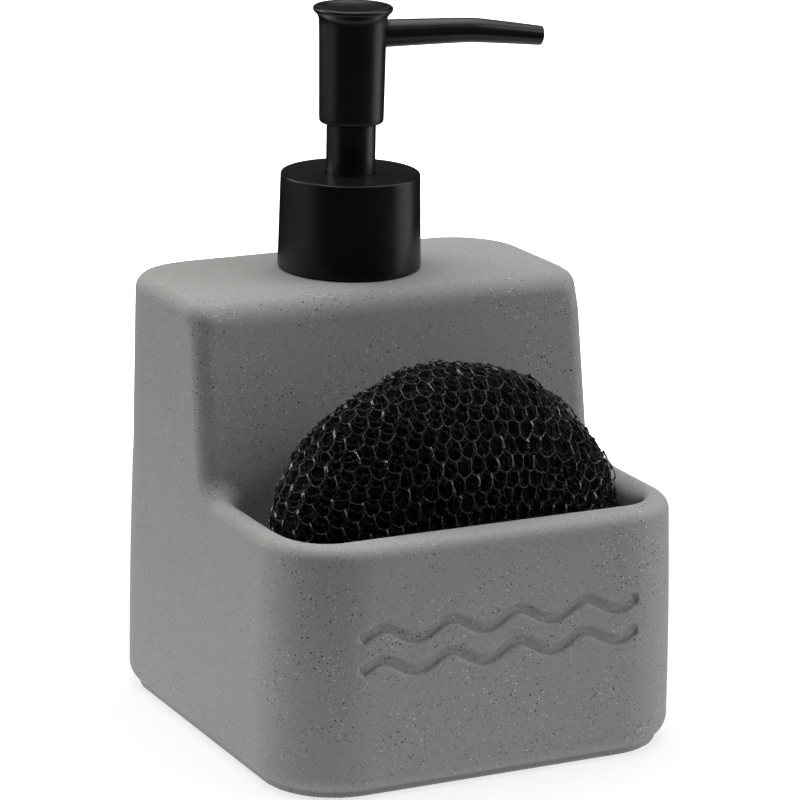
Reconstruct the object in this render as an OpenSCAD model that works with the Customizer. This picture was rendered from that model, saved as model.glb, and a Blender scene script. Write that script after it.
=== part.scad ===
// Countertop soap pump caddy: one cast block that is a soap reservoir at the
// back and an open tray at the front, a screw-on lotion pump, and a knitted
// mesh scourer standing on edge in the tray.
// Frame: X across, +Y to the back, +Z up, origin under the middle of the foot.
// Millimetres, real size.

/* [Casting] */
// Width of the footprint
body_w = 105; // [102:0.5:108]
// Depth of the footprint, tray and reservoir together
body_d = 107.1; // [105:0.1:110]
// Height of the tray's rim
tray_h = 58.7; // [54:0.1:62]
// Height of the reservoir's top
block_h = 102.5; // [102:0.1:103]
// Depth of the reservoir at the table, from its front plane to the back face
block_d = 65.1; // [63:0.1:66.5]
// How far the reservoir's front leans back, in mm for each mm of height
block_lean = 0.16; // [0.12:0.01:0.17]
// Radius of the tray's two upright front corners
front_r = 19.6; // [17:0.1:22]
// Radius of the two upright back corners
back_r = 18.7; // [17:0.1:21]
// Radius of the reservoir's upright front edges
edge_r = 4.2; // [3:0.1:6]
// Rounding along the tray's outer rim
rim_r = 3; // [2.5:0.1:4.5]
// Rounding around the sides and back of the reservoir's top
top_r = 5.4; // [4.5:0.1:6]
// Rounding along the front edge of the reservoir's top
front_top_r = 4.3; // [3.5:0.1:5]
// Wall thickness of the casting
wall = 6.2; // [5.5:0.1:6.6]
// Thickness of the tray's front wall at the rim
front_wall = 8.4; // [7.5:0.1:8.6]
// Radius of the tray's two inner front corners
cavity_r = 9; // [7:0.1:10]
// Floor thickness under the tray and the reservoir
floor_t = 6.5; // [5:0.1:8]
// Height of the recessed foot
foot_h = 0.9; // [0.6:0.1:1.5]
// How far the foot stands in from the footprint
foot_in = 2.6; // [2:0.1:4]

/* [Front ornament] */
// Depth of the two pressed wave lines on the tray's front
wave_depth = 0.8; // [0.4:0.1:1.2]
// Width of a wave line
wave_w = 2.6; // [1.5:0.1:3.2]
// Rise and fall of a wave line to each side
wave_a = 1.7; // [1:0.1:2.2]

/* [Pump] */
// Distance of the pump's axis behind the middle of the footprint
pump_y = 28.3; // [27:0.1:29]
// Outer radius of the collar at its foot
collar_r = 17.2; // [16.9:0.1:18]
// Height of the collar
collar_h = 22.7; // [22.7:0.1:23]
// Outer radius of the fixed guide sleeve
sleeve_r = 5.9; // [5.7:0.01:5.95]
// Outer radius of the head just above its lower edge
head_r = 7.75; // [7.6:0.05:8]
// Height of the head's top rim above the table
head_top = 165.5; // [165:0.1:167]
// How far the head travels when it is pressed
stroke = 11; // [8:0.5:11.5]
// Reach of the spout's tip from the pump's axis
spout_reach = 47.1; // [42:0.1:50]
// Angle of the spout from the right-hand side towards the front
spout_turn = 10; // [0:1:30]

/* [Neck thread] */
// Rise of the closure for one full turn
lead = 4.2; // [4.1:0.01:4.3]
// Turns of thread on the neck
neck_turns = 1.1667; // [1:0.0833:1.25]

/* [Scourer] */
// Radius of the round mesh scourer
pad_r = 45; // [42:0.1:45.2]
// Half of its thickness at the middle
pad_half = 18.5; // [12:0.1:18.8]
// How far the scourer leans back, in degrees
pad_tilt = 3; // [0:0.5:5]

/* [Hidden] */
$fn = 96;
e = 0.01;

taper = 0.017;                 // inward draft of the tray's outside
btaper = 0.010;                // inward draft of the reservoir's back and of its sides there
ftaper = 0.015;                // inward draft of the reservoir's sides at their front edges
hw = body_w / 2;
hd = body_d / 2;
bot_r = 5;                     // rounding under the lower edge
function yf(z) = hd - block_d + block_lean * z;   // reservoir's front plane

// levels of the pump, measured from the top of the casting
T = block_h;
neck_top = T + 14.45;
flange_z = T + 15.5;           // underside of the housing's flange
flange_t = 1.5;
seat_z = flange_z + flange_t;  // top of that flange
bore_r = 5.9;                  // piston bore
barrel_r = 6.9;
stem_r = 3.9;
ring_r = 15.3;                 // outside of the closure ring
neck_root = 12.9;
neck_crest = 13.85;
ring_crest = 13.2;
ring_root = 14.25;

// ---- helpers ----
function arc(r, a0, a1, n) = [for (i = [0:n]) let (a = a0 + (a1 - a0) * i / n) [r * cos(a), r * sin(a)]];
function shift(p, d) = [for (v = p) v + d];

// lower end of a rounded upright corner, standing on z = 0
module foot_puck(r, q) {
    rotate_extrude($fn = 32)
        polygon(concat([[0, 0]], shift(arc(q, -90, 0, 5), [r - q, q]), [[0, q]]));
}
// upper end of a rounded upright corner, its top on z = 0
module head_puck(r, q) {
    rotate_extrude($fn = 32)
        polygon(concat([[0, -q]], shift(arc(q, 0, 90, 5), [r - q, -q]), [[0, 0]]));
}
module pair(x, y, z) {
    for (s = [-1, 1]) translate([s * x, y, z]) children();
}

// a right-handed thread ridge of trapezoid section, swept as one solid
module thread_ridge(r_in, r_out, w_in, w_out, z0, a0, turns) {
    n = round(turns * 36);
    q = r_in < r_out ? 0.5 : -0.5;      // keeps the faces turned outwards
    pts = [for (i = [0:n]) let (a = a0 + 360 * turns * i / n, z = z0 + lead * (a / 360))
           for (s = [[r_in, q * w_in], [r_out, q * w_out], [r_out, -q * w_out], [r_in, -q * w_in]])
           [s[0] * cos(a), s[0] * sin(a), z + s[1]]];
    faces = concat([[0, 1, 2, 3]],
        [for (i = [0:n - 1]) for (k = [0:3]) let (j = (k + 1) % 4)
            [4 * i + k, 4 * i + 4 + k, 4 * i + 4 + j, 4 * i + j]],
        [[4 * n + 3, 4 * n + 2, 4 * n + 1, 4 * n]]);
    polyhedron(pts, faces, convexity = 6);
}

// ---- casting ----
module tray_outside() {
    z1 = tray_h - rim_r;
    hull() {
        pair(hw - front_r - taper * bot_r, -hd + front_r + taper * bot_r, foot_h) foot_puck(front_r, bot_r);
        pair(hw - back_r - taper * bot_r, hd - back_r - taper * bot_r, foot_h) foot_puck(back_r, bot_r);
        pair(hw - front_r - taper * z1, -hd + front_r + taper * z1, tray_h) head_puck(front_r, rim_r);
        pair(hw - back_r - taper * z1, hd - back_r - taper * z1, tray_h) head_puck(back_r, rim_r);
    }
}
module tray_cavity() {
    r = cavity_r;
    d = 0.5;
    x1 = hw - taper * tray_h - wall + 1;
    y1 = -hd + taper * tray_h + front_wall;
    hull() {
        translate([-(x1 - 1 - d - r), y1 + d + r, floor_t]) foot_puck(r, 5);
        translate([x1 - 1 - d - r, y1 + d + r, floor_t]) foot_puck(r, 5);
        pair(x1 - 1 - d - 3, 8, floor_t) foot_puck(3, 3);
        pair(x1 - 1 - r, y1 + r, tray_h) cylinder(r = r, h = 8, $fn = 32);
        pair(x1 - 1 - 3, 8, tray_h) cylinder(r = 3, h = 8, $fn = 32);
    }
}
module block_outside() {
    z0 = 10;
    z1 = block_h - top_r;
    z3 = block_h - front_top_r;
    z2 = z3 - 3;
    tr = max(edge_r, front_top_r + 0.2);      // the upright edges open out into the rounded top
    hull() {
        pair(hw - edge_r - ftaper * z0, yf(z0) + edge_r, z0) cylinder(r = edge_r, h = 0.5, $fn = 32);
        pair(hw - edge_r - ftaper * z2, yf(z2) + edge_r, z2) cylinder(r = edge_r, h = 0.1, $fn = 32);
        pair(hw - back_r - btaper * z0, hd - back_r - btaper * z0, z0) cylinder(r = back_r, h = 0.5, $fn = 32);
        pair(hw - tr - ftaper * z3, yf(z3) + tr, block_h) head_puck(tr, front_top_r);
        pair(hw - back_r - btaper * z1, hd - back_r - btaper * z1, block_h) head_puck(back_r, top_r);
    }
}
module reservoir() {
    zb = floor_t + 0.5;
    zt = block_h - 6;
    x0 = hw - wall - btaper * 10;
    x1 = hw - wall - btaper * zt;
    hull() {
        pair(x0 - 4, yf(zb) + wall + 0.3 + 4, zb) foot_puck(4, 4);
        pair(x0 - 12.5, hd - wall - 0.3 - 12.5, zb) foot_puck(12.5, 4);
        pair(x1 - 4, yf(zt) + wall + 0.3 + 4, zt) head_puck(4, 4);
        pair(x1 - 12.5, hd - wall - 1 - 12.5, zt) head_puck(12.5, 4);
    }
}
module foot() {
    hull() {
        pair(hw - front_r, -hd + front_r, 0) cylinder(r = front_r - foot_in, h = foot_h + 1, $fn = 32);
        pair(hw - back_r, hd - back_r, 0) cylinder(r = back_r - foot_in, h = foot_h + 1, $fn = 32);
    }
}
// one pressed wave line, drawn in X and Z and cut into the front face
module wave_line(zc) {
    n = 64;
    half = 34.5;
    mid = [for (i = [0:n]) let (x = -half + 2 * half * i / n) [x, wave_a * sin(360 * 4 * i / n)]];
    outline = concat([for (v = mid) v + [0, wave_w / 2]], [for (i = [n:-1:0]) mid[i] - [0, wave_w / 2]]);
    translate([0, -hd + taper * zc + wave_depth, zc]) rotate([90, 0, 0])
        linear_extrude(height = 5) polygon(outline);
}
module caddy_body() {
    color([0.50, 0.50, 0.48])
    difference() {
        union() {
            difference() {
                tray_outside();
                tray_cavity();
            }
            block_outside();
            foot();
        }
        reservoir();
        translate([0, pump_y, block_h - 8]) cylinder(r = 13, h = 12);
        wave_line(31);
        wave_line(38.5);
    }
}

// ---- neck, bonded into the casting ----
module neck_insert() {
    color([0.10, 0.10, 0.10])
    translate([0, pump_y, 0]) {
        difference() {
            union() {
                translate([0, 0, T]) cylinder(r = 15, h = 1.1);
                translate([0, 0, T - 8.5]) cylinder(r = 12.95, h = 9);
                translate([0, 0, T]) cylinder(r = neck_root, h = neck_top - T);
                thread_ridge(neck_root - 0.4, neck_crest, 2.5, 1.3, T + 4.5, 7, neck_turns);
            }
            translate([0, 0, T - 10]) cylinder(r = 11.3, h = 30);
        }
    }
}

// ---- pump, fixed inside ----
module pump_housing() {
    color([0.86, 0.86, 0.84])
    translate([0, pump_y, 0]) difference() {
        union() {
            translate([0, 0, flange_z]) cylinder(r = 12.6, h = flange_t);
            translate([0, 0, T - 28.5]) cylinder(r = barrel_r, h = flange_z - (T - 28.5) + 0.5);
            translate([0, 0, T - 40.5]) cylinder(r = 4.7, h = 13);
            translate([0, 0, T - 31.5]) cylinder(r1 = 4.7, r2 = barrel_r, h = 3);
        }
        translate([0, 0, T - 18.5]) cylinder(r = bore_r, h = 50);
        translate([0, 0, T - 24.3]) cylinder(r = 3.1, h = 6.3);
        translate([0, 0, T - 25.9]) cylinder(r1 = 1.5, r2 = 3.1, h = 1.6);
        translate([0, 0, T - 31]) cylinder(r = 1.5, h = 6);
        translate([0, 0, T - 41]) cylinder(r = 3.22, h = 10.5);
        // air vent under the flange
        translate([bore_r - 1, 0, T + 9]) rotate([0, 90, 0]) cylinder(r = 0.5, h = 4);
    }
}
module neck_gasket() {
    color([0.75, 0.75, 0.72])
    translate([0, pump_y, neck_top + 0.05]) difference() {
        cylinder(r = 12.6, h = flange_z - neck_top - 0.05);
        translate([0, 0, -1]) cylinder(r = 7.4, h = 4);
    }
}
module guide_sleeve() {
    color([0.05, 0.05, 0.05])
    translate([0, pump_y, 0]) difference() {
        union() {
            translate([0, 0, seat_z - 5.5]) cylinder(r = bore_r - 0.05, h = 6);
            translate([0, 0, seat_z]) cylinder(r = 8.7, h = 2.6);
            translate([0, 0, seat_z + 2.4]) cylinder(r = 10.3, h = 1.3);
            translate([0, 0, seat_z + 3]) cylinder(r = sleeve_r, h = 140 - 102.5 + T - seat_z - 3);
        }
        translate([0, 0, seat_z - 7]) cylinder(r = stem_r + 0.06, h = 30);
    }
}
module ball_retainer() {
    color([0.80, 0.80, 0.78])
    translate([0, pump_y, T - 18.5]) difference() {
        cylinder(r = bore_r - 0.04, h = 1.2);
        translate([0, 0, -1]) cylinder(r = 1.2, h = 4);
        for (a = [0:120:240]) rotate([0, 0, a]) translate([2.9, 0, -1]) cylinder(r = 0.9, h = 4);
    }
}
module dip_tube() {
    color([0.90, 0.90, 0.88])
    translate([0, pump_y, 0]) difference() {
        translate([0, 0, floor_t + 3]) cylinder(r = 3.2, h = T - 30.6 - floor_t - 3);
        translate([0, 0, floor_t]) cylinder(r = 2.3, h = T);
        // the lower end is cut at an angle so that it cannot seal on the floor
        translate([0, 0, floor_t + 3]) rotate([0, 35, 0]) translate([-10, -10, -14]) cube([20, 20, 12]);
    }
}
// coil spring: eight-sided wire swept up the coil by rule
module return_spring() {
    wire = 0.4;
    rm = 4.3;
    z0 = T - 17.3 + wire + 0.02;
    z1 = T + 0.7 - wire - 0.1;
    coils = 6;
    n = coils * 18;
    pts = [for (i = [0:n]) let (a = 360 * coils * i / n, z = z0 + (z1 - z0) * i / n)
           for (k = [0:7]) let (r = rm + wire * cos(45 * k)) [r * cos(a), r * sin(a), z - wire * sin(45 * k)]];
    faces = concat([[for (k = [0:7]) k]],
        [for (i = [0:n - 1]) for (k = [0:7]) let (j = (k + 1) % 8)
            [8 * i + k, 8 * i + 8 + k, 8 * i + 8 + j, 8 * i + j]],
        [[for (k = [7:-1:0]) 8 * n + k]]);
    color([0.70, 0.71, 0.72]) translate([0, pump_y, 0]) polyhedron(pts, faces, convexity = 8);
}
module inlet_ball() {
    color([0.75, 0.76, 0.77]) translate([0, pump_y, T - 25.9 + 0.338 + 1.838 + 0.04]) sphere(r = 2.6);
}

// ---- closure, turns with the collar ----
module closure_ring() {
    color([0.08, 0.08, 0.08])
    translate([0, pump_y, 0]) union() {
        difference() {
            translate([0, 0, T + 1.6]) cylinder(r = ring_r, h = seat_z + 2.1 - T - 1.6);
            translate([0, 0, T + 1]) cylinder(r = ring_root, h = seat_z + 0.3 - T - 1);
            translate([0, 0, T]) cylinder(r = 9.1, h = 30);
        }
        thread_ridge(ring_root + 0.4, ring_crest, 2.0, 1.0, T + 4.5 - 1.75, -50, 1.1667);
    }
}
module collar_shell() {
    r2 = collar_r - 0.5;
    z0 = T + 0.3;
    z1 = z0 + collar_h;
    color([0.05, 0.05, 0.05])
    translate([0, pump_y, 0]) difference() {
        rotate_extrude()
            polygon(concat([[0, z0], [collar_r - 0.4, z0], [collar_r - 0.12, z0 + 0.12], [collar_r, z0 + 0.4]],
                shift(arc(0.5, 0, 90, 6), [r2 - 0.5, z1 - 0.5]), [[0, z1]]));
        translate([0, 0, T - 1]) cylinder(r = ring_r, h = seat_z + 3.9 - T + 1);
        translate([0, 0, T]) cylinder(r = sleeve_r + 0.3, h = 40);
    }
}

// ---- plunger ----
module stem() {
    color([0.88, 0.88, 0.86])
    translate([0, pump_y, 0]) difference() {
        translate([0, 0, T + 1.9]) cylinder(r = stem_r, h = 52.1);
        translate([0, 0, T]) cylinder(r = 2.4, h = 60);
        for (a = [45:90:315]) rotate([0, 0, a]) translate([0, 0, T + 2.9]) rotate([0, 90, 0]) cylinder(r = 0.6, h = 6);
    }
}
module stem_plug() {
    color([0.82, 0.82, 0.80])
    translate([0, pump_y, T + 0.7]) {
        cylinder(r = 5, h = 1.2);
        for (a = [0, 90]) rotate([0, 0, a]) translate([-2.3, -0.5, 1]) cube([4.6, 1, 4.6]);
    }
}
module piston_seal() {
    color([0.93, 0.93, 0.90])
    translate([0, pump_y, T + 3.8]) difference() {
        union() {
            cylinder(r = bore_r - 0.05, h = 1.4);
            cylinder(r = bore_r - 0.6, h = 6.2);
            translate([0, 0, 4.9]) cylinder(r = bore_r - 0.05, h = 1.4);
        }
        translate([0, 0, -1]) cylinder(r = stem_r, h = 10);
    }
}

// ---- head, swivels on the stem ----
function hz(v) = head_top - 165.5 + v;
head_low = T + 0.3 + collar_h + 1.1 + stroke;   // the head stops 1.1 mm above the collar
head_profile = concat(
    [[0, head_low], [head_r - 1.2, head_low]],
    [[head_r - 0.55, head_low + 0.25], [head_r - 0.15, head_low + 0.65], [head_r - 0.02, head_low + 1.2]],
    [[head_r + 0.17, hz(154)], [head_r + 0.36, hz(161.8)], [head_r + 0.55, hz(162.9)],
     [head_r + 1, hz(163.7)], [head_r + 1.45, hz(164.15)], [head_r + 1.73, hz(164.6)],
     [head_r + 1.75, hz(165)], [head_r + 1.55, hz(165.35)], [head_r + 1.15, hz(165.5)],
     [head_r + 0.55, hz(165.4)], [head_r - 0.45, hz(165.05)], [head_r - 1.95, hz(164.7)],
     [head_r - 4.15, hz(164.45)], [0, hz(164.35)]]);
module head_solid() {
    rotate_extrude() polygon(head_profile);
}
spout_z = 158.65;
module pump_head() {
    color([0.05, 0.05, 0.05])
    translate([0, pump_y, 0]) difference() {
        head_solid();
        translate([0, 0, head_low - 0.5]) cylinder(r = sleeve_r + 0.3, h = hz(152.2) - head_low + 0.5);
        translate([0, 0, hz(150)]) cylinder(r = stem_r, h = T + 54 - hz(150));
        translate([0, 0, hz(150)]) cylinder(r = 2.4, h = 10.6);
        rotate([0, 0, -spout_turn]) translate([0, 0, hz(spout_z)]) rotate([0, 90, 0]) cylinder(r = 2.05, h = 12);
    }
}
module spout_nozzle() {
    bend = 31.5;
    drop = atan2(1.94, 15.6);
    len = (spout_reach - bend) / cos(drop);
    color([0.05, 0.05, 0.05])
    translate([0, pump_y, 0]) rotate([0, 0, -spout_turn]) translate([0, 0, hz(spout_z)]) difference() {
        union() {
            difference() {
                translate([6, 0, 0]) rotate([0, 90, 0]) cylinder(r1 = 3.35, r2 = 2.93, h = bend - 6);
                rotate([0, 0, spout_turn]) translate([0, 0, -hz(spout_z)]) head_solid();
            }
            translate([3.4, 0, 0]) rotate([0, 90, 0]) cylinder(r = 2.05, h = 6);
            translate([bend, 0, 0]) sphere(r = 2.93);
            translate([bend, 0, 0]) rotate([0, 90 + drop, 0]) cylinder(r1 = 2.93, r2 = 2.35, h = len);
        }
        translate([3, 0, 0]) rotate([0, 90, 0]) cylinder(r = 1.5, h = bend - 3);
        translate([bend, 0, 0]) sphere(r = 1.5);
        translate([bend, 0, 0]) rotate([0, 90 + drop, 0]) cylinder(r = 1.5, h = len + 2);
    }
}

// ---- scourer: round pad of knitted mesh standing on edge ----
function pad_t(u) = pad_half * pow(max(0, 1 - pow(u, 2.3)), 1 / 2.3);
module mesh_scourer() {
    n = 16;
    us = [for (i = [0:n]) sin(90 * i / n)];
    prof = concat([for (i = [0:n]) [pad_r * us[i], pad_t(us[i])]], [for (i = [n - 1:-1:0]) [pad_r * us[i], -pad_t(us[i])]]);
    color([0.04, 0.04, 0.04])
    difference() {
        translate([0, -24, 45.75]) rotate([90 - pad_tilt, 0, 0]) rotate_extrude() polygon(prof);
        translate([-60, -60, -20]) cube([120, 80, 20 + floor_t + 0.35]);
    }
}

caddy_body();
neck_insert();
pump_housing();
neck_gasket();
guide_sleeve();
ball_retainer();
dip_tube();
return_spring();
inlet_ball();
closure_ring();
collar_shell();
stem();
stem_plug();
piston_seal();
pump_head();
spout_nozzle();
mesh_scourer();
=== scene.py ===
import math

import bpy
import numpy as np
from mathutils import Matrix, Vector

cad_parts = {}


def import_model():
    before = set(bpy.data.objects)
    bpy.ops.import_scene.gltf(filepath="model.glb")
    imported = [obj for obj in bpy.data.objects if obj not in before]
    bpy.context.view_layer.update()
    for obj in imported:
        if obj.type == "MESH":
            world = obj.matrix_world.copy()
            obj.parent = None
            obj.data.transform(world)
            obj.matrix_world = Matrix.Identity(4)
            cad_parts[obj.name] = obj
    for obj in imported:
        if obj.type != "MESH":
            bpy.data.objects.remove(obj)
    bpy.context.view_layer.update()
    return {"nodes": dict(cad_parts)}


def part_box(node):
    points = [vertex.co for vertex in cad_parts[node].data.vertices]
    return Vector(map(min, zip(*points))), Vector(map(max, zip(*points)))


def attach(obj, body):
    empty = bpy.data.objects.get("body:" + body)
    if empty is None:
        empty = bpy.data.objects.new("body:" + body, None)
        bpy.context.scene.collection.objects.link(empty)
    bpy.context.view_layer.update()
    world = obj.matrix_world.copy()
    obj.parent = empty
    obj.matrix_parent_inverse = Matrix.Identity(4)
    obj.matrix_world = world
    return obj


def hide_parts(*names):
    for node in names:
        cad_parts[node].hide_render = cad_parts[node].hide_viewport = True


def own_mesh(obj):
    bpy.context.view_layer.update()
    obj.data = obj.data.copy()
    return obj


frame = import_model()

import openvdb
from mathutils import Matrix, Vector

N = frame["nodes"]

# --------------------------------------------------------------------------
# camera, fitted to the photograph (square frame)
# --------------------------------------------------------------------------
def make_camera():
    az, el, roll = math.radians(-27.04), math.radians(15.45), math.radians(1.133)
    back = Vector((math.sin(az) * math.cos(el), -math.cos(az) * math.cos(el), math.sin(el)))
    right = Vector((math.cos(az), math.sin(az), 0.0))
    up = back.cross(right)
    c, s = math.cos(roll), math.sin(roll)
    right, up = c * right + s * up, -s * right + c * up
    place = Vector((0, 0, 0.07633)) + back * 0.93805
    cam = bpy.data.cameras.new("camera")
    cam.lens = 179.34
    cam.sensor_width = 36.0
    cam.clip_start, cam.clip_end = 0.05, 20.0
    ob = bpy.data.objects.new("camera", cam)
    ob.matrix_world = Matrix((
        (right.x, up.x, back.x, place.x),
        (right.y, up.y, back.y, place.y),
        (right.z, up.z, back.z, place.z),
        (0, 0, 0, 1)))
    bpy.context.scene.collection.objects.link(ob)
    bpy.context.scene.camera = ob
    return ob


make_camera()

# --------------------------------------------------------------------------
# mesh helpers. Sizes in here are millimetres; make_piece turns them to metres
# --------------------------------------------------------------------------
def make_piece(name, points, faces, normals=None, material=None, smooth=True):
    """faces is a list of integer arrays, one for each number of corners."""
    me = bpy.data.meshes.new(name)
    points = np.asarray(points, float) / 1000.0
    me.vertices.add(len(points))
    me.vertices.foreach_set("co", points.astype(np.float32).ravel())
    groups = [np.asarray(f, np.int32) for f in faces if len(f)]
    me.loops.add(sum(f.size for f in groups))
    me.loops.foreach_set("vertex_index", np.concatenate([f.ravel() for f in groups]))
    me.polygons.add(sum(len(f) for f in groups))
    starts, at = [], 0
    for f in groups:
        starts.append(at + f.shape[1] * np.arange(len(f), dtype=np.int32))
        at += f.size
    me.polygons.foreach_set("loop_start", np.concatenate(starts).astype(np.int32))
    me.update(calc_edges=True)
    me.validate()
    me.polygons.foreach_set("use_smooth", np.full(len(me.polygons), smooth))
    if normals is not None:
        me.normals_split_custom_set_from_vertices(np.asarray(normals, float).tolist())
    if material is not None:
        me.materials.append(material)
    ob = bpy.data.objects.new(name, me)
    bpy.context.scene.collection.objects.link(ob)
    return ob


def spline(keys, per=8):
    """Points along a centripetal Catmull-Rom curve through keys (2-D or 3-D)."""
    k = np.asarray(keys, float)
    p = np.vstack([2 * k[0] - k[1], k, 2 * k[-1] - k[-2]])
    out = []
    for i in range(1, len(p) - 2):
        a, b, c, d = p[i - 1], p[i], p[i + 1], p[i + 2]
        t0 = 0.0
        t1 = t0 + max(np.linalg.norm(b - a), 1e-9) ** 0.5
        t2 = t1 + max(np.linalg.norm(c - b), 1e-9) ** 0.5
        t3 = t2 + max(np.linalg.norm(d - c), 1e-9) ** 0.5
        for t in np.linspace(t1, t2, per, endpoint=False):
            a1 = (t1 - t) / (t1 - t0) * a + (t - t0) / (t1 - t0) * b
            a2 = (t2 - t) / (t2 - t1) * b + (t - t1) / (t2 - t1) * c
            a3 = (t3 - t) / (t3 - t2) * c + (t - t2) / (t3 - t2) * d
            b1 = (t2 - t) / (t2 - t0) * a1 + (t - t0) / (t2 - t0) * a2
            b2 = (t3 - t) / (t3 - t1) * a2 + (t - t1) / (t3 - t1) * a3
            out.append((t2 - t) / (t2 - t1) * b1 + (t - t1) / (t2 - t1) * b2)
    out.append(p[-2])
    return np.array(out)


def arc2(cx, cz, r, a0, a1, n):
    a = np.radians(np.linspace(a0, a1, n + 1))
    return np.c_[cx + r * np.cos(a), cz + r * np.sin(a)]


def lathe(profile, n=128):
    """Closed solid of revolution about Z. profile goes from the axis to the axis, counter-clockwise in (r, z)."""
    pr = np.asarray(profile, float)
    inner = pr[1:-1]
    m = len(inner)
    a = 2 * math.pi * np.arange(n) / n
    ring = np.stack([np.outer(inner[:, 0], np.cos(a)), np.outer(inner[:, 0], np.sin(a)),
                     np.repeat(inner[:, 1:2], n, 1)], -1).reshape(-1, 3)
    pts = np.vstack([ring, [[0, 0, pr[0, 1]], [0, 0, pr[-1, 1]]]])
    i, j = np.meshgrid(np.arange(m - 1), np.arange(n), indexing="ij")
    j2 = (j + 1) % n
    quads = np.stack([i * n + j, i * n + j2, (i + 1) * n + j2, (i + 1) * n + j], -1).reshape(-1, 4)
    k = np.arange(n)
    k2 = (k + 1) % n
    first = np.stack([np.full(n, m * n), k2, k], -1)
    last = np.stack([np.full(n, m * n + 1), (m - 1) * n + k, (m - 1) * n + k2], -1)
    return pts, [quads, np.vstack([first, last])]


def tube(path, outer, inner, mouth, n=64):
    """A hollow nose swept along path: outer and inner radii at each point, closed at its root, open at its tip with a rounded mouth."""
    path = np.asarray(path, float)
    tan = np.gradient(path, axis=0)
    tan /= np.linalg.norm(tan, axis=1)[:, None]
    side = np.array([0, 1.0, 0])
    up = np.cross(side, tan)
    up /= np.linalg.norm(up, axis=1)[:, None]
    a = 2 * math.pi * np.arange(n) / n

    def ring(p, u, r):
        return p + r * (np.outer(np.cos(a), u) + np.outer(np.sin(a), side))
    rings = [ring(path[0], up[0], r) for r in (1.0,)]
    rings += [ring(path[0], up[0], outer[0] * 0.5)]
    rings += [ring(p, u, r) for p, u, r in zip(path, up, outer)]
    tip, t, u = path[-1], tan[-1], up[-1]
    ro, ri = outer[-1], inner
    for ang in np.radians(np.linspace(15, 90, 6)):
        rings.append(ring(tip + t * mouth * math.sin(ang), u, ro - mouth * (1 - math.cos(ang))))
    for ang in np.radians(np.linspace(90, 0, 6)):
        rings.append(ring(tip + t * 0.5 * mouth * (1 + math.sin(ang)), u, ri + 0.5 * mouth * (1 - math.cos(ang))))
    back = path[::-1]
    cut = [k for k in range(len(back)) if np.linalg.norm(back[k] - tip) > 1.0]
    for k in cut:
        q = len(path) - 1 - k
        if q < 3:
            break
        rings.append(ring(path[q], up[q], ri))
    end = path[max(q, 3)]
    pts = np.vstack(rings + [[path[0]], [end]])
    m = len(rings)
    i, j = np.meshgrid(np.arange(m - 1), np.arange(n), indexing="ij")
    j2 = (j + 1) % n
    quads = np.stack([i * n + j, (i + 1) * n + j, (i + 1) * n + j2, i * n + j2], -1).reshape(-1, 4)
    k = np.arange(n)
    k2 = (k + 1) % n
    caps = np.vstack([np.stack([np.full(n, m * n), k, k2], -1),
                      np.stack([np.full(n, m * n + 1), (m - 1) * n + k2, (m - 1) * n + k], -1)])
    return pts, [quads, caps]


# --------------------------------------------------------------------------
# the casting, as a smooth distance field meshed and pulled onto its surface
# --------------------------------------------------------------------------
W2, D2 = 52.5, 53.55
H_T, H_B = 58.7, 102.5
LEAN, BD = 0.16, 65.1
FOOT_H, FOOT_IN = 0.9, 2.6
R_RIM, R_TOP = 2.9, 5.4
WALL, FRONT_WALL, FLOOR, PY = 6.2, 8.4, 6.5, 28.3


def smooth01(a, b, x):
    t = np.clip((x - a) / (b - a), 0, 1)
    return t * t * (3 - 2 * t)


def rrect(x, y, hx, y0, y1, rf, rb):
    ym, hy = (y0 + y1) * 0.5, (y1 - y0) * 0.5
    yy = y - ym
    r = np.where(yy < 0, rf, rb)
    qx, qy = np.abs(x) - hx + r, np.abs(yy) - hy + r
    return np.minimum(np.maximum(qx, qy), 0) + np.hypot(np.maximum(qx, 0), np.maximum(qy, 0)) - r


def meet(a, b, r):
    """Intersection, its convex edge rounded to r."""
    return np.minimum(np.maximum(a + r, b + r), 0) + np.hypot(np.maximum(a + r, 0), np.maximum(b + r, 0)) - r


def join(a, b, r):
    """Union, its concave edge filled to r."""
    return np.maximum(np.minimum(a - r, b - r), 0) - np.hypot(np.minimum(a - r, 0), np.minimum(b - r, 0)) + r


def y_front(z):
    return D2 - BD + LEAN * z


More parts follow.
